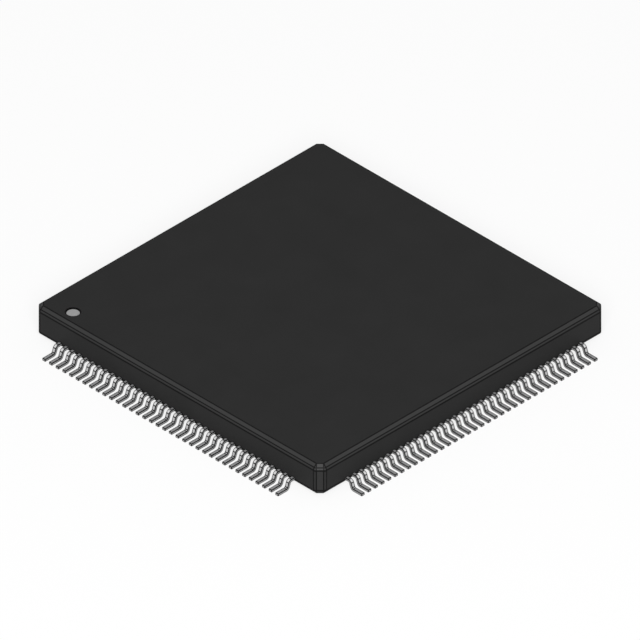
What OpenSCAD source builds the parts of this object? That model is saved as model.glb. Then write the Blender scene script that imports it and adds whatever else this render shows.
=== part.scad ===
// Quad flat pack: a square moulded chip package with gull-wing leads on its four sides.
// Millimetres. The seating plane is z = 0, the middle of the body is x = y = 0, and lead 1
// is at the back end of the left side, next to the dot.

/* [Body] */
// Side of the square moulded body, wall to wall
body_w = 28; // [27:0.5:32]
// Thickness of the moulded body
body_t = 2.52; // [2:0.02:3.4]
// Gap between the seating plane and the body's underside
standoff = 0.24; // [0.15:0.01:0.4]
// How far the 45 degree bevel along the top and bottom edges runs in from the wall
edge_bevel = 0.309; // [0.15:0.001:0.36]
// Radius that blends each edge bevel into the wall
edge_round = 0.286; // [0.05:0.001:0.3]
// Leg of the 45 degree bevel across each upright corner
corner_bevel = 0.53; // [0.4:0.01:1]
// Radius along both edges of each corner bevel
corner_round = 0.29; // [0.05:0.01:0.4]

/* [Leads] */
// Number of leads on each side
leads_per_side = 36; // [12:2:36]
// Distance between neighbouring leads
lead_pitch = 0.65; // [0.6:0.01:0.65]
// Width of a lead
lead_w = 0.29; // [0.22:0.01:0.32]
// Thickness of the lead frame's sheet
lead_t = 0.2; // [0.12:0.01:0.24]
// Distance from the body's wall to the lead's tip
lead_reach = 1.6; // [1.5:0.05:2]
// Length of the flat foot
foot_flat = 0.835; // [0.6:0.005:0.85]
// Inner radius of both bends
bend_r = 0.1; // [0.06:0.01:0.12]
// Angle of the leg from level
leg_angle = 70; // [64:1:82]
// Height of the shoulder's underside above the body's underside
exit_h = 0.347; // [0.3:0.001:0.5]

/* [Inner fingers] */
// How far a lead runs straight inside the wall before its finger turns to the die
straight_in = 0.9; // [0.6:0.1:1.2]
// Gap between the die pad's edge and the finger tips
tip_gap = 0.6; // [0.3:0.05:1]
// Distance between neighbouring finger tips
tip_pitch = 0.33; // [0.31:0.01:0.34]
// Width of a finger tip
tip_w = 0.19; // [0.14:0.01:0.21]

/* [Die pad] */
// Side of the square die pad
pad_w = 11.4; // [10:0.1:12]
// How far the pad is set down below the leads
pad_drop = 0.12; // [0.05:0.01:0.2]
// Width of the tie bar at each corner of the pad
tie_w = 0.4; // [0.25:0.05:0.5]
// Length of the sloping stretch of a tie bar
tie_slope = 0.5; // [0.3:0.05:0.8]
// Moulding compound left over the cut end of a tie bar
tie_cover = 0.35; // [0.2:0.05:0.6]

/* [Die] */
// Side of the square silicon die
die_w = 8.6; // [7:0.1:9]
// Thickness of the die
die_t = 0.38; // [0.2:0.01:0.5]
// Thickness of the die attach
attach_t = 0.03; // [0.02:0.005:0.06]
// How far the die attach stands out round the die
attach_edge = 0.15; // [0.05:0.05:0.3]

/* [Bond wires] */
// Thickness of a bond wire
wire_t = 0.03; // [0.02:0.005:0.05]
// Width of the squashed ball that bonds a wire to the die
ball_d = 0.08; // [0.05:0.005:0.1]
// Height of the squashed ball
ball_h = 0.025; // [0.015:0.005:0.04]
// Height of the wire's loop above the die
loop_h = 0.24; // [0.15:0.01:0.4]
// Distance from the die's edge to the row of wires on it
wire_inset = 0.14; // [0.1:0.01:0.25]
// Distance from the die's corner to the first wire on each side
wire_corner = 0.5; // [0.3:0.05:0.8]
// Length of the flat stitch on the finger
stitch_l = 0.12; // [0.08:0.01:0.2]
// Distance from the finger's tip to the stitch
stitch_inset = 0.1; // [0.05:0.01:0.2]

/* [Lead tape] */
// Thickness of the tape ring on the fingers
tape_t = 0.06; // [0.04:0.01:0.1]
// Width of the tape ring
tape_w = 1.4; // [0.8:0.1:1.8]
// Distance from the body's wall to the tape's outer edge
tape_inset = 3.6; // [2.5:0.1:4]

/* [Pin-one dot] */
// Diameter of the dot
dot_d = 0.93; // [0.6:0.01:1.4]
// Gap between the dot's edge and the edge of its recess
dot_gap = 0.05; // [0.02:0.005:0.1]
// Depth of the dot's recess
dot_depth = 0.13; // [0.05:0.01:0.2]
// Thickness of the marking ink in the recess
ink_t = 0.03; // [0.02:0.005:0.04]
// Distance from the left wall to the dot's centre
dot_from_left = 1.24; // [1.1:0.01:2.5]
// Distance from the back wall to the dot's centre
dot_from_back = 2.65; // [1.1:0.01:4]

/* [Ejector marks] */
// Diameter of an ejector mark on the underside
mark_d = 1.8; // [1:0.1:3]
// Depth of an ejector mark
mark_depth = 0.05; // [0.03:0.01:0.08]
// Distance from the walls to an ejector mark's centre
mark_inset = 4.5; // [3:0.1:8]

/* [Hidden] */
$fn = 96;

// Compass turns that carry the right-hand side's pieces to each side
RIGHT = 0;
BACK = 90;
LEFT = 180;
FRONT = 270;
SIDES = [RIGHT, BACK, LEFT, FRONT];

// Heights, from the seating plane up
body_z = standoff;
top_z = standoff + body_t;
lead_z = standoff + exit_h;
finger_top_z = lead_z + lead_t;
pad_z = lead_z - pad_drop;
attach_z = pad_z + lead_t;
die_z = attach_z + attach_t;
die_top_z = die_z + die_t;

// Distances from the middle of the body
wall = body_w / 2;
corner_wall = (body_w - corner_bevel) / sqrt(2);
finger_tip = pad_w / 2 + tip_gap;
knee = wall - straight_in;
tip = wall + lead_reach;

// The formed lead: its leg takes up the height that the two bends leave
rise = lead_z;
neutral_r = 2 * bend_r + lead_t;
leg_l = (rise - neutral_r * (1 - cos(leg_angle))) / sin(leg_angle);
bend_run = neutral_r * sin(leg_angle) + leg_l * cos(leg_angle);
foot_start = tip - foot_flat;
shoulder_end = foot_start - bend_run;

// How far a round of radius r reaches along both lines of a 135 degree corner
function blend_reach(r) = r * tan(22.5);

// Place of number i in a centred row of the given pitch
function in_row(i, pitch) = (i - (leads_per_side - 1) / 2) * pitch;

// Both edges of a strip of width w along a path, as one closed outline
function unit(v) = v / norm(v);
function left_of(v) = [-v[1], v[0]];
function path_dir(p, i) = unit(p[i + 1] - p[i]);
function mitre(p, i) =
    i == 0 ? left_of(path_dir(p, 0)) :
    i == len(p) - 1 ? left_of(path_dir(p, i - 1)) :
    let (a = left_of(path_dir(p, i - 1)), b = left_of(path_dir(p, i)))
    (a + b) / (1 + a * b);
function strip(p, w) = concat(
    [for (i = [0 : len(p) - 1]) p[i] + mitre(p, i) * w / 2],
    [for (i = [len(p) - 1 : -1 : 0]) p[i] - mitre(p, i) * w / 2]
);

// Upright section through the body, with bevelled top and bottom edges that round into
// the walls. The round is a circle set into the corner between bevel and wall.
module body_section(half) {
    r = edge_round;
    reach = blend_reach(r);
    skew = reach / sqrt(2);
    bevel_end = half - skew;
    high = body_t - edge_bevel;
    polygon([
        [-half + edge_bevel, 0], [half - edge_bevel, 0],
        [bevel_end, edge_bevel - skew], [half, edge_bevel + reach],
        [half, high - reach], [bevel_end, high + skew],
        [half - edge_bevel, body_t], [-half + edge_bevel, body_t],
        [-bevel_end, high + skew], [-half, high - reach],
        [-half, edge_bevel + reach], [-bevel_end, edge_bevel - skew]
    ]);
    for (side = [-1, 1], z = [edge_bevel + reach, high - reach])
        translate([side * (half - r), z]) circle(r = r);
}

// Plan of the body, with a rounded bevel across each upright corner
module body_plan() {
    r = corner_round;
    reach = blend_reach(r);
    flat = wall - corner_bevel - reach;
    cut = wall - corner_bevel + reach / sqrt(2);
    side = wall - reach / sqrt(2);
    polygon([for (a = SIDES)
        for (p = [[wall, -flat], [wall, flat], [side, cut], [cut, side]])
        [p[0] * cos(a) - p[1] * sin(a), p[0] * sin(a) + p[1] * cos(a)]
    ]);
    for (a = SIDES, m = [-1, 1])
        rotate(a) translate([wall - r, m * flat]) circle(r = r);
}

// An endless bar across the body with the body's section
module section_bar(half, turn) {
    rotate([0, 0, turn]) rotate([90, 0, 0])
        linear_extrude(height = 2 * body_w, center = true) body_section(half);
}

// The moulding before its pockets: the plan, bevelled along the walls and the corners
module moulding() {
    translate([0, 0, body_z]) intersection() {
        linear_extrude(height = body_t) body_plan();
        section_bar(wall, 0);
        section_bar(wall, 90);
        section_bar(corner_wall, 45);
        section_bar(corner_wall, 135);
    }
}

// Plan of one side's fingers, from their tips out to the given distance
module finger_plans(out) {
    for (i = [0 : leads_per_side - 1]) {
        y = in_row(i, lead_pitch);
        y_tip = in_row(i, tip_pitch);
        polygon([
            [finger_tip, y_tip - tip_w / 2], [knee, y - lead_w / 2], [out, y - lead_w / 2],
            [out, y + lead_w / 2], [knee, y + lead_w / 2], [finger_tip, y_tip + tip_w / 2]
        ]);
    }
}

// One side's fingers and shoulders, flat, out to the given distance
module fingers(out) {
    translate([0, 0, lead_z]) linear_extrude(height = lead_t) finger_plans(out);
}

// Section through one bend: the part of a ring that a wedge from angle a to b cuts out
module bend(a, b) {
    far = 4 * (bend_r + lead_t);
    mid = (a + b) / 2;
    intersection() {
        difference() {
            circle(r = bend_r + lead_t);
            circle(r = bend_r);
        }
        polygon([[0, 0], far * [cos(a), sin(a)], far * [cos(mid), sin(mid)], far * [cos(b), sin(b)]]);
    }
}

// Section through a lead beyond its shoulder: bend, leg, bend and flat foot
module gull_wing() {
    translate([shoulder_end, lead_z - bend_r]) {
        bend(90 - leg_angle, 90);
        rotate(-leg_angle) translate([0, bend_r]) square([leg_l, lead_t]);
    }
    translate([foot_start, lead_t + bend_r]) bend(270 - leg_angle, 270);
    translate([foot_start, 0]) square([foot_flat, lead_t]);
}

// The leads of one side
module lead_row(turn) {
    color("silver") rotate([0, 0, turn]) {
        union() {
            fingers(shoulder_end);
            for (i = [0 : leads_per_side - 1])
                translate([0, in_row(i, lead_pitch), 0]) rotate([90, 0, 0])
                    linear_extrude(height = lead_w, center = true) gull_wing();
        }
    }
}

// The die pad, set down below the leads, and the tie bars that once held it in the frame
module pad_and_ties() {
    corner = pad_w / sqrt(2);
    end = corner_wall - tie_cover;
    slope_start = corner + tie_w;
    slope_end = slope_start + tie_slope;
    translate([-pad_w / 2, -pad_w / 2, pad_z]) cube([pad_w, pad_w, lead_t]);
    for (a = SIDES)
        rotate([0, 0, a + 45]) rotate([90, 0, 0])
            linear_extrude(height = tie_w, center = true) polygon([
                [corner - tie_w, pad_z], [slope_start, pad_z], [slope_end, lead_z], [end, lead_z],
                [end, lead_z + lead_t], [slope_end, lead_z + lead_t],
                [slope_start, pad_z + lead_t], [corner - tie_w, pad_z + lead_t]
            ]);
}

module die_pad() {
    color("peru") pad_and_ties();
}

// A square layer in the middle of the package
module layer(w, z, t) {
    translate([-w / 2, -w / 2, z]) cube([w, w, t]);
}

module die_attach() {
    color("gainsboro") layer(die_w + 2 * attach_edge, attach_z, attach_t);
}

module silicon_die() {
    color("slategray") layer(die_w, die_z, die_t);
}

// One bond wire: up from its ball on the die, over its loop and down to a stitch on the
// finger. The ball is eight-sided.
module bond_wire(i) {
    from = [die_w / 2 - wire_inset, in_row(i, (die_w - 2 * wire_corner) / (leads_per_side - 1))];
    to = [finger_tip + stitch_inset + stitch_l, in_row(i, tip_pitch)];
    run = norm(to - from);
    turn = atan2(to[1] - from[1], to[0] - from[0]);
    peak_z = die_top_z + loop_h - wire_t / 2;
    stitch_z = finger_top_z + wire_t / 2;
    path = [
        [0, die_top_z],
        [0, die_top_z + loop_h / 2],
        [loop_h / 2, peak_z],
        [run / 2, peak_z - loop_h / 5],
        [run - stitch_l, stitch_z],
        [run, stitch_z]
    ];
    translate([from[0], from[1], 0]) rotate([0, 0, turn]) {
        rotate([90, 0, 0]) linear_extrude(height = wire_t, center = true) polygon(strip(path, wire_t));
        translate([0, 0, die_top_z]) cylinder(d = ball_d, h = ball_h, $fn = 8);
    }
}

module wire_row(turn) {
    color("gold") rotate([0, 0, turn])
        for (i = [0 : leads_per_side - 1]) bond_wire(i);
}

module tape_ring() {
    out = wall - tape_inset;
    in = out - tape_w;
    translate([0, 0, finger_top_z]) linear_extrude(height = tape_t) difference() {
        square(2 * out, center = true);
        square(2 * in, center = true);
    }
}

module lead_tape() {
    color("goldenrod") tape_ring();
}

module at_dot(z) {
    translate([-wall + dot_from_left, wall - dot_from_back, z]) children();
}

module pin_one_dot() {
    color("lightgray") at_dot(top_z - dot_depth) cylinder(d = dot_d, h = ink_t);
}

// The round marks that the mould's ejector pins leave underneath
module ejector_marks() {
    for (a = SIDES)
        rotate([0, 0, a]) translate([wall - mark_inset, wall - mark_inset, body_z - mark_depth])
            cylinder(d = mark_d, h = 2 * mark_depth);
}

module mould_body() {
    color("dimgray") difference() {
        moulding();
        for (a = SIDES) rotate([0, 0, a]) fingers(wall + lead_t);
        for (a = SIDES) wire_row(a);
        pad_and_ties();
        layer(die_w + 2 * attach_edge, attach_z, attach_t);
        layer(die_w, die_z, die_t);
        tape_ring();
        at_dot(top_z - dot_depth) cylinder(d = dot_d + 2 * dot_gap, h = 2 * dot_depth);
        ejector_marks();
    }
}

mould_body();
lead_row(LEFT);  // leads_left
lead_row(FRONT);  // leads_front
lead_row(RIGHT);  // leads_right
lead_row(BACK);  // leads_back
die_pad();
die_attach();
silicon_die();
wire_row(LEFT);  // wires_left
wire_row(FRONT);  // wires_front
wire_row(RIGHT);  // wires_right
wire_row(BACK);  // wires_back
lead_tape();
pin_one_dot();
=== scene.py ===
"""Looks of the quad flat pack chip: finishes, floor, light and the photograph's camera."""
import math

import bmesh
import bpy
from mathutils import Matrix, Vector


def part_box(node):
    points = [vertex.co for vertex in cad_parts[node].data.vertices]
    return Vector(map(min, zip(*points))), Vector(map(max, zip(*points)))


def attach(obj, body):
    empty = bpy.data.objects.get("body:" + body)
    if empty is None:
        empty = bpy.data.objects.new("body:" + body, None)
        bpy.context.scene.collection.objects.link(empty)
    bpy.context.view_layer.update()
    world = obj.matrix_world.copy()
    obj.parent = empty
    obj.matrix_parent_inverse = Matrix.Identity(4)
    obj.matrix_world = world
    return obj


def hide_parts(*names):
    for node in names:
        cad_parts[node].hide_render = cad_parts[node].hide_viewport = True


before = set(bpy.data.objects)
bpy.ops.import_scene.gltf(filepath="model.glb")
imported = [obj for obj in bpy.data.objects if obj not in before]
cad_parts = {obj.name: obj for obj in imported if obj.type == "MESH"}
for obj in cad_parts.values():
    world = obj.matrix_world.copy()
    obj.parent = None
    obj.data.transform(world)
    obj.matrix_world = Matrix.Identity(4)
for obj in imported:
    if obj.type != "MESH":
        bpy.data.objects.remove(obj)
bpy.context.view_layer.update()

MM = 0.001

# The photograph is a true isometric view, and its 640 pixels take in this width
VIEW_WIDTH = 44.19 * MM
VIEW_TARGET = Vector((0.0, 0.0, 1.37 * MM))
VIEW_BACK = Vector((-1.0, -1.0, 1.0)).normalized()
VIEW_DISTANCE = 400 * MM
CLIP_START = 1 * MM
CLIP_END = 10 * VIEW_DISTANCE

# Light: an even room, and a soft box behind the camera that falls on top and walls alike
ROOM_LIGHT = 0.40
# The room's white as the camera sees it, which is that of the floor's far parts
ROOM_WHITE = 0.985
KEY_LIGHT = 1.05
KEY_AZIMUTH = math.radians(315.0)
KEY_ELEVATION = math.radians(35.0)
KEY_WIDTH = 300 * MM
KEY_DISTANCE = 600 * MM

# Floor: its own colour and roughness, and how much of its white is plain background
FLOOR_COLOR = 0.95
FLOOR_ROUGHNESS = 0.9
FLOOR_BACKGROUND = 0.8
FLOOR_SIZE = 1000 * MM
# The floor lies off centre, so that the seam between its two triangles runs clear of the part
FLOOR_SHIFT = 200 * MM

# Leads: their sheet, their bends and their feet, as in the solids
LEAD_T = 0.2 * MM
BEND_R = 0.1 * MM
LEG_ANGLE = math.radians(70)
FOOT_FLAT = 0.835 * MM

# Leads, as rounded here: how wide the dark margin along their edges is and how far the edges
# are rounded, in how many steps, and the bevel profiles that leave an edge sharp or round it
LEAD_MARGIN = 0.06 * MM
LEAD_ROUND = 0.018 * MM
BEVEL_STEPS = 2
SHARP_PROFILE = 1.0
ROUND_PROFILE = 0.5
# Points nearer than this are taken as one, and so are faces that meet at less than this angle
WELD_GAP = 0.0001 * MM
FLAT_ANGLE = math.radians(0.5)
# An edge counts as sharp from this angle
EDGE_ANGLE = math.radians(40)
# A face counts as cut if its normal's part along X or Y is above the first value, and as level
# if the part along Z is above the second. Cut and level faces, and all above this area, are
# straight, and the rest are facets of a bend
CUT_SHARE = 0.99
LEVEL_SHARE = 0.999
STRAIGHT_AREA = 0.05 * MM ** 2
# The places of a rounded lead's three finishes in its mesh
FACE_FINISH = 0
CUT_FINISH = 1
EDGE_FINISH = 2

# Moulding: its bevels and rounds, and the dot's gap in its recess, as in the solids
EDGE_BEVEL = 0.309 * MM
EDGE_ROUND = 0.286 * MM
CORNER_BEVEL = 0.53 * MM
CORNER_ROUND = 0.29 * MM
DOT_GAP = 0.05 * MM
# How far a round between faces 45 degrees apart reaches along them, as a share of its radius
ROUND_REACH = math.tan(math.radians(22.5))

# Fine dark lines along the moulding's edges and across the leads' bends: their width, and how
# much of the colour they take away
BODY_LINE = 0.16 * MM
BODY_LINE_DEPTH = 0.85
BEND_LINE = 0.11 * MM
BEND_LINE_DEPTH = 1.0
# Beside a corner's upright edges, distance counts more, so that the lines there are finer
UPRIGHT_SCALE = 2
# How far apart these lines are where a bevel meets the flat face, as a share of how far apart
# they are on the walls
MITRE_SHARE = 0.1

# Painted shade in seams: how near another surface must be to darken a seam, and with how many
# rays it is looked for
CREVICE = 0.12 * MM
CREVICE_SAMPLES = 8

# Painted light on slopes: how much a normal's upward part and its sideways parts count. A level
# face comes to the first of them and gets none, and a corner's sloping facet comes to the full
# sum
SLOPE_LIGHT_UP = 1.125
SLOPE_LIGHT_SIDE = 0.875
SLOPE_LIGHT_FULL = 1.6705

# Noise: the range that most of its values lie in, and how rich its two patterns are
NOISE_LOW = 0.3
NOISE_HIGH = 0.7
FINE_DETAIL = 3.0
BROAD_DETAIL = 2.0


def add_object(name, data):
    """A new object of the scene, at its origin."""
    thing = bpy.data.objects.new(name, data)
    bpy.context.scene.collection.objects.link(thing)
    return thing


def make_camera():
    """The photograph's view, from the front left corner and 35.26 degrees up."""
    data = bpy.data.cameras.new("camera")
    data.type = "ORTHO"
    data.ortho_scale = VIEW_WIDTH
    data.clip_start = CLIP_START
    data.clip_end = CLIP_END
    camera = add_object("camera", data)
    camera.location = VIEW_TARGET + VIEW_BACK * VIEW_DISTANCE
    camera.rotation_euler = (-VIEW_BACK).to_track_quat("-Z", "Y").to_euler()
    bpy.context.scene.camera = camera


def make_key_light():
    """A round soft box whose light, met square on, shows a colour at KEY_LIGHT of itself."""
    data = bpy.data.lights.new("key", "AREA")
    data.shape = "DISK"
    data.size = KEY_WIDTH
    data.energy = KEY_LIGHT * (math.pi * KEY_DISTANCE) ** 2
    lamp = add_object("key", data)
    level = math.cos(KEY_ELEVATION)
    back = Vector((
        math.sin(KEY_AZIMUTH) * level,
        -math.cos(KEY_AZIMUTH) * level,
        math.sin(KEY_ELEVATION),
    ))
    lamp.location = back * KEY_DISTANCE
    lamp.rotation_euler = (-back).to_track_quat("-Z", "Y").to_euler()


def calculate(tree, operation, first, second=0.0):
    """One Math node's result, from outputs or plain numbers."""
    node = tree.nodes.new("ShaderNodeMath")
    node.operation = operation
    for value, socket in zip((first, second), node.inputs):
        if isinstance(value, (int, float)):
            socket.default_value = value
        else:
            tree.links.new(value, socket)
    return node.outputs[0]


def highest_of(tree, masks):
    """The highest of several masks."""
    highest = masks[0]
    for mask in masks[1:]:
        highest = calculate(tree, "MAXIMUM", highest, mask)
    return highest


def background_rays(tree):
    """A value of 1 for the rays that should see the plain background, and 0 for the rest."""
    path = tree.nodes.new("ShaderNodeLightPath")
    kinds = ("Is Camera Ray", "Is Glossy Ray", "Is Transmission Ray")
    return highest_of(tree, [path.outputs[kind] for kind in kinds])


def spread(tree, value, low, high, start=NOISE_LOW, end=NOISE_HIGH):
    """Carries a value from the range of start to end, a noise's unless said, to low to high."""
    ramp = tree.nodes.new("ShaderNodeMapRange")
    ramp.inputs["From Min"].default_value = start
    ramp.inputs["From Max"].default_value = end
    ramp.inputs["To Min"].default_value = low
    ramp.inputs["To Max"].default_value = high
    tree.links.new(value, ramp.inputs["Value"])
    return ramp.outputs["Result"]


def make_world():
    """An even room that lights the part gently and that the camera sees as white."""
    world = bpy.data.worlds.new("world")
    world.use_nodes = True
    tree = world.node_tree
    background = tree.nodes["Background"]
    background.inputs["Color"].default_value = (1.0, 1.0, 1.0, 1.0)
    strength = spread(tree, background_rays(tree), ROOM_LIGHT, ROOM_WHITE, start=0.0, end=1.0)
    tree.links.new(strength, background.inputs["Strength"])
    bpy.context.scene.world = world


def new_material(name):
    """A new material with its node tree and its shader."""
    material = bpy.data.materials.new(name)
    material.use_nodes = True
    tree = material.node_tree
    return material, tree, tree.nodes["Principled BSDF"]


def mix_shaders(tree, share, first, second):
    """The first shader going over to the second one as the share goes from 0 to 1."""
    mix = tree.nodes.new("ShaderNodeMixShader")
    tree.links.new(share, mix.inputs["Fac"])
    tree.links.new(first, mix.inputs[1])
    tree.links.new(second, mix.inputs[2])
    return mix.outputs[0]


def floor_material():
    """A pale matt floor that mostly shows as plain white and keeps a faint shadow.

    It is clear from below.
    """
    material, tree, matt = new_material("floor")
    matt.inputs["Base Color"].default_value = (FLOOR_COLOR, FLOOR_COLOR, FLOOR_COLOR, 1.0)
    matt.inputs["Roughness"].default_value = FLOOR_ROUGHNESS
    matt.inputs["Specular IOR Level"].default_value = 0.0
    white = tree.nodes.new("ShaderNodeEmission")
    share = calculate(tree, "MULTIPLY", background_rays(tree), FLOOR_BACKGROUND)
    above = mix_shaders(tree, share, matt.outputs[0], white.outputs[0])
    clear = tree.nodes.new("ShaderNodeBsdfTransparent")
    below = tree.nodes.new("ShaderNodeNewGeometry").outputs["Backfacing"]
    surface = mix_shaders(tree, below, above, clear.outputs[0])
    tree.links.new(surface, tree.nodes["Material Output"].inputs["Surface"])
    return material


def make_floor():
    """A square floor at the height of the feet, shifted to the left and the back."""
    half = FLOOR_SIZE / 2
    corners = [
        (across * half - FLOOR_SHIFT, back * half + FLOOR_SHIFT, 0.0)
        for across, back in ((-1, -1), (1, -1), (1, 1), (-1, 1))
    ]
    mesh = bpy.data.meshes.new("floor")
    mesh.from_pydata(corners, [], [(0, 1, 2, 3)])
    mesh.materials.append(floor_material())
    floor = add_object("floor", mesh)


def coordinates(tree, kind):
    """The surface point's place, kind Object, or its normal, kind Normal."""
    return tree.nodes.new("ShaderNodeTexCoord").outputs[kind]


def mirrored_parts(tree, vector):
    """A vector's parts, with X and Y made positive, as the four sides are alike."""
    parts = tree.nodes.new("ShaderNodeSeparateXYZ")
    tree.links.new(vector, parts.inputs[0])
    x = calculate(tree, "ABSOLUTE", parts.outputs["X"])
    y = calculate(tree, "ABSOLUTE", parts.outputs["Y"])
    return x, y, parts.outputs["Z"]


def noise(tree, place, grain, detail):
    """A noise pattern whose blotches are about grain metres across."""
    texture = tree.nodes.new("ShaderNodeTexNoise")
    texture.inputs["Scale"].default_value = 1 / grain
    texture.inputs["Detail"].default_value = detail
    tree.links.new(place, texture.inputs["Vector"])
    return texture.outputs["Fac"]


def line_at(tree, value, place, width):
    """A mask: 1 up to a quarter of the width from the place, falling to 0 at half of it."""
    off = calculate(tree, "ABSOLUTE", calculate(tree, "SUBTRACT", value, place))
    return spread(tree, off, 1.0, 0.0, start=width / 4, end=width / 2)


def bend_lines(tree):
    """The fine dark lines across the leads where their bends begin and end."""
    tip, _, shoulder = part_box("leads_right")[1]
    # Along either face of the sheet, one bend has the inner radius and one the outer
    both_radii = 2 * BEND_R + LEAD_T
    drop = shoulder - LEAD_T
    leg = (drop - both_radii * (1 - math.cos(LEG_ANGLE))) / math.sin(LEG_ANGLE)
    foot_start = tip - FOOT_FLAT
    shoulder_end = foot_start - both_radii * math.sin(LEG_ANGLE) - leg * math.cos(LEG_ANGLE)

    x, y, z = mirrored_parts(tree, coordinates(tree, "Object"))
    out = calculate(tree, "MAXIMUM", x, y)
    # How far along the leg a point lies, from the end of the upper bend
    run = calculate(tree, "SUBTRACT", out, shoulder_end)
    run = calculate(tree, "MULTIPLY", run, math.cos(LEG_ANGLE))
    fall = calculate(tree, "SUBTRACT", drop - BEND_R, z)
    fall = calculate(tree, "MULTIPLY", fall, math.sin(LEG_ANGLE))
    along = calculate(tree, "ADD", run, fall)
    lines = [line_at(tree, out, place, BEND_LINE) for place in (shoulder_end, foot_start)]
    lines += [line_at(tree, along, place, BEND_LINE) for place in (0.0, leg)]
    return calculate(tree, "MULTIPLY", highest_of(tree, lines), BEND_LINE_DEPTH)


def dot_rim(tree):
    """The fine dark line along the rim of the dot's recess."""
    low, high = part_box("pin_one_dot")
    flat = tree.nodes.new("ShaderNodeVectorMath")
    flat.operation = "MULTIPLY_ADD"
    flat.inputs[1].default_value = (1.0, 1.0, 0.0)
    flat.inputs[2].default_value = (-(low[0] + high[0]) / 2, -(low[1] + high[1]) / 2, 0.0)
    tree.links.new(coordinates(tree, "Object"), flat.inputs[0])
    away = tree.nodes.new("ShaderNodeVectorMath")
    away.operation = "LENGTH"
    tree.links.new(flat.outputs["Vector"], away.inputs[0])
    rim = (high[0] - low[0]) / 2 + DOT_GAP
    return line_at(tree, away.outputs["Value"], rim, BODY_LINE)


def edge_lines(tree):
    """The fine dark lines along the edges of the moulding's bevels and rounds."""
    low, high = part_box("mould_body")
    wall = high[0]
    corner = (2 * wall - CORNER_BEVEL) / math.sqrt(2)
    middle = (low[2] + high[2]) / 2

    # Distances in from the wall and from the corner's facet, and down from the top or the
    # underside, whichever is nearer
    x, y, z = mirrored_parts(tree, coordinates(tree, "Object"))
    from_wall = calculate(tree, "SUBTRACT", wall, calculate(tree, "MAXIMUM", x, y))
    diagonal = calculate(tree, "DIVIDE", calculate(tree, "ADD", x, y), math.sqrt(2))
    from_corner = calculate(tree, "SUBTRACT", corner, diagonal)
    inset = calculate(tree, "MINIMUM", from_wall, from_corner)
    height = calculate(tree, "ABSOLUTE", calculate(tree, "SUBTRACT", z, middle))
    down = calculate(tree, "SUBTRACT", high[2] - middle, height)

    # Across an edge this grows from the flat face to the wall, and along the edge it stays
    over = calculate(tree, "SUBTRACT", down, inset)
    reach = EDGE_ROUND * ROUND_REACH
    flat_edge = -EDGE_BEVEL
    round_start = EDGE_BEVEL - math.sqrt(2) * reach
    round_end = EDGE_BEVEL + reach
    edges = (flat_edge, round_start, round_end)
    lines = [line_at(tree, over, edge, BODY_LINE) for edge in edges]

    # A line on each side of a corner's upright edges. Up the bevels they draw together along
    # the mitres, and there are none on the flat face
    aside = calculate(tree, "ABSOLUTE", calculate(tree, "SUBTRACT", from_wall, from_corner))
    aside = calculate(tree, "MULTIPLY", aside, UPRIGHT_SCALE)
    apart = UPRIGHT_SCALE * (CORNER_ROUND * ROUND_REACH / math.sqrt(2))
    place = spread(tree, over, apart * MITRE_SHARE, apart, start=flat_edge, end=round_end)
    upright = line_at(tree, aside, place, BODY_LINE)
    off_the_flat = calculate(tree, "GREATER_THAN", over, flat_edge)
    lines.append(calculate(tree, "MULTIPLY", upright, off_the_flat))

    lines.append(dot_rim(tree))
    return calculate(tree, "MULTIPLY", highest_of(tree, lines), BODY_LINE_DEPTH)


def painted_slope_light(tree):
    """A mask of painted light: 0 on level faces and walls, rising on slopes to 1 on a corner's
    sloping facet.

    Slopes that face down have none, and a corner's upright facet has a little.
    """
    x, y, z = mirrored_parts(tree, coordinates(tree, "Normal"))
    total = calculate(tree, "MULTIPLY", z, SLOPE_LIGHT_UP)
    for part in (x, y):
        total = calculate(tree, "ADD", total, calculate(tree, "MULTIPLY", part, SLOPE_LIGHT_SIDE))
    return spread(tree, total, 0.0, 1.0, start=SLOPE_LIGHT_UP, end=SLOPE_LIGHT_FULL)


def painted_crevice_shade(tree, color):
    """The colour with painted shade: darkened in slots and round seams."""
    shade = tree.nodes.new("ShaderNodeAmbientOcclusion")
    shade.samples = CREVICE_SAMPLES
    shade.inputs["Distance"].default_value = CREVICE
    tree.links.new(color, shade.inputs["Color"])
    return shade.outputs["Color"]


def blend(tree, share, first, second):
    """The first colour going over to the second one as the share goes from 0 to 1."""
    mix = tree.nodes.new("ShaderNodeMix")
    mix.data_type = "RGBA"
    tree.links.new(share, mix.inputs["Factor"])
    for color, socket in ((first, mix.inputs["A"]), (second, mix.inputs["B"])):
        if isinstance(color, tuple):
            socket.default_value = (*color, 1.0)
        else:
            tree.links.new(color, socket)
    return mix.outputs["Result"]


def grey(level):
    """A neutral colour."""
    return (level, level, level)


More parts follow.
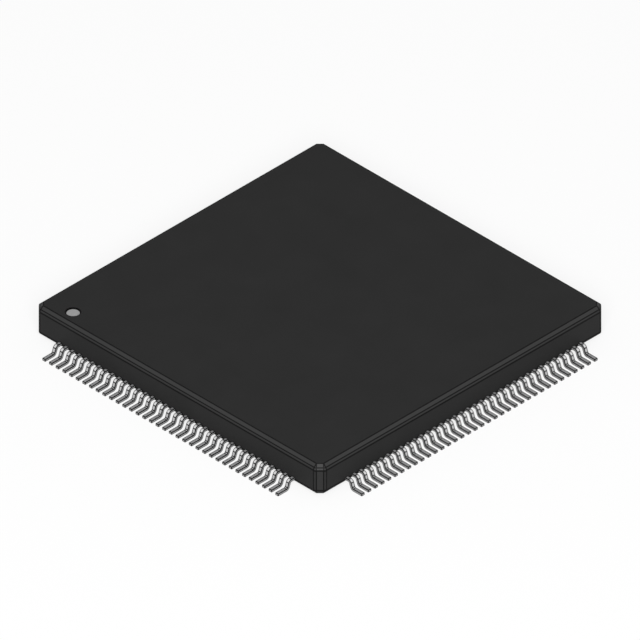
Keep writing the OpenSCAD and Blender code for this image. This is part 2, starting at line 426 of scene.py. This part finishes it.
def finish(
    name, dark, light, grain, blotch, roughness, relief,
    metallic=0.0, specular=0.5, painted_light_tone=None, lines=None,
):
    """A surface of two close tones in fine grain and broad blotches, with a faint relief.

    Where a tone of painted light is given, slopes, bevelled edges and corners go over to it.
    Where a function for lines is given, the surface is dark along them, with painted shade in
    its crevices.
    """
    material, tree, shader = new_material(name)
    shader.inputs["Metallic"].default_value = metallic
    shader.inputs["Specular IOR Level"].default_value = specular

    place = coordinates(tree, "Object")
    fine = noise(tree, place, grain, FINE_DETAIL)
    broad = noise(tree, place, blotch, BROAD_DETAIL)
    average = calculate(tree, "DIVIDE", calculate(tree, "ADD", fine, broad), 2)
    color = blend(tree, spread(tree, average, 0.0, 1.0), dark, light)
    # Painted light: slopes, bevelled edges and corners go over to a lighter tone
    if painted_light_tone:
        color = blend(tree, painted_slope_light(tree), color, painted_light_tone)
    # The lines are dark, and painted shade darkens the crevices
    if lines:
        color = painted_crevice_shade(tree, blend(tree, lines(tree), color, grey(0.0)))
    tree.links.new(color, shader.inputs["Base Color"])
    tree.links.new(spread(tree, fine, *roughness), shader.inputs["Roughness"])

    bump = tree.nodes.new("ShaderNodeBump")
    bump.inputs["Distance"].default_value = relief
    tree.links.new(fine, bump.inputs["Height"])
    tree.links.new(bump.outputs["Normal"], shader.inputs["Normal"])
    return material


def dress(material, *names):
    """Gives nodes of the frame their finish."""
    for name in names:
        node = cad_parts[name]
        node.data.materials.clear()
        node.data.materials.append(material)


def dress_body():
    """Matt black compound with painted light on its slopes, painted shade in its crevices and
    fine dark lines along its edges.
    """
    # The lighter slope tone is painted light, and the crevices get painted shade
    compound = finish(
        "mould_compound", grey(0.0167), grey(0.0204), grain=0.09 * MM, blotch=3 * MM,
        roughness=(0.52, 0.62), relief=0.004 * MM, specular=0.05,
        painted_light_tone=grey(0.048), lines=edge_lines,
    )
    dress(compound, "mould_body")


def is_cut(face):
    """True for a lead's sides and ends, where the sheet was cut, and false elsewhere."""
    return max(abs(face.normal.x), abs(face.normal.y)) > CUT_SHARE


def is_straight(face):
    """True for a lead's flat faces, and false for its bends' facets."""
    level = abs(face.normal.z) > LEVEL_SHARE
    return is_cut(face) or level or face.calc_area() > STRAIGHT_AREA


def round_leads(name, finishes):
    """The leads of one side with rounded edges, in the finishes of faces, cuts and edges."""
    shape = bmesh.new()
    shape.from_mesh(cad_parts[name].data)
    bmesh.ops.remove_doubles(shape, verts=shape.verts, dist=WELD_GAP)
    bmesh.ops.dissolve_limit(
        shape, angle_limit=FLAT_ANGLE, verts=shape.verts, edges=shape.edges,
    )
    for face in shape.faces:
        face.material_index = CUT_FINISH if is_cut(face) else FACE_FINISH
        face.smooth = not is_straight(face)
    # The first bevel leaves the edges sharp, with a margin along both of their faces
    for offset, profile in ((LEAD_MARGIN, SHARP_PROFILE), (LEAD_ROUND, ROUND_PROFILE)):
        sharp = [edge for edge in shape.edges if edge.calc_face_angle(0.0) > EDGE_ANGLE]
        bmesh.ops.bevel(
            shape, geom=sharp, offset=offset, segments=BEVEL_STEPS, profile=profile,
            affect="EDGES", clamp_overlap=False, material=EDGE_FINISH,
        )
    for face in shape.faces:
        if face.material_index == EDGE_FINISH:
            face.smooth = True
    mesh = bpy.data.meshes.new("rounded_" + name)
    shape.to_mesh(mesh)
    shape.free()
    for material in finishes:
        mesh.materials.append(material)
    piece = add_object("rounded_" + name, mesh)
    piece.modifiers.new("even_normals", "WEIGHTED_NORMAL")
    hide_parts(name)
    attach(piece, "root")


def dress_leads():
    """Satin tin with painted light on the bends and painted shade in its crevices, with darker,
    rougher cut sides and dark edges.
    """
    # The tin's lighter tone on the bends is painted light, and its crevices get painted shade
    tin = finish(
        "tin_plating", (0.36, 0.36, 0.37), grey(0.42), grain=0.05 * MM, blotch=0.6 * MM,
        roughness=(0.4, 0.5), relief=0.002 * MM, metallic=0.5, specular=0.2,
        painted_light_tone=grey(0.78), lines=bend_lines,
    )
    cut = finish(
        "cut_sides", (0.3, 0.3, 0.305), grey(0.36), grain=0.04 * MM, blotch=0.4 * MM,
        roughness=(0.5, 0.62), relief=0.003 * MM, metallic=0.5, specular=0.2,
    )
    edge = finish(
        "dark_edges", grey(0.01), grey(0.02), grain=0.04 * MM, blotch=0.4 * MM,
        roughness=(0.5, 0.65), relief=0.002 * MM, metallic=0.5, specular=0.2,
    )
    for name in ("leads_left", "leads_front", "leads_right", "leads_back"):
        round_leads(name, (tin, cut, edge))


def dress_dot():
    """Light grey marking ink."""
    ink = finish(
        "marking_ink", grey(0.28), grey(0.34), grain=0.05 * MM, blotch=0.4 * MM,
        roughness=(0.55, 0.7), relief=0.003 * MM, specular=0.3,
    )
    dress(ink, "pin_one_dot")


def dress_inside():
    """Finishes of the pieces in the moulding, which nothing shows."""
    copper = finish(
        "copper_alloy", (0.66, 0.36, 0.23), (0.76, 0.45, 0.31), grain=0.08 * MM,
        blotch=2 * MM, roughness=(0.3, 0.42), relief=0.002 * MM, metallic=1.0,
    )
    dress(copper, "die_pad")
    adhesive = finish(
        "silver_adhesive", grey(0.5), grey(0.65), grain=0.03 * MM, blotch=0.5 * MM,
        roughness=(0.45, 0.65), relief=0.004 * MM,
    )
    dress(adhesive, "die_attach")
    silicon = finish(
        "silicon", (0.13, 0.15, 0.19), (0.18, 0.2, 0.25), grain=0.02 * MM, blotch=1 * MM,
        roughness=(0.1, 0.2), relief=0.0005 * MM,
    )
    dress(silicon, "silicon_die")
    gold = finish(
        "gold_wire", (0.85, 0.62, 0.24), (0.95, 0.75, 0.36), grain=0.02 * MM,
        blotch=0.2 * MM, roughness=(0.2, 0.3), relief=0.0005 * MM, metallic=1.0,
    )
    dress(gold, "wires_left", "wires_front", "wires_right", "wires_back")
    tape = finish(
        "polyimide_tape", (0.62, 0.3, 0.05), (0.75, 0.42, 0.1), grain=0.1 * MM,
        blotch=2 * MM, roughness=(0.35, 0.5), relief=0.002 * MM,
    )
    dress(tape, "lead_tape")


make_camera()
make_world()
make_key_light()
make_floor()

dress_body()
dress_leads()
dress_dot()
dress_inside()

bpy.context.scene.view_settings.view_transform = "Standard"
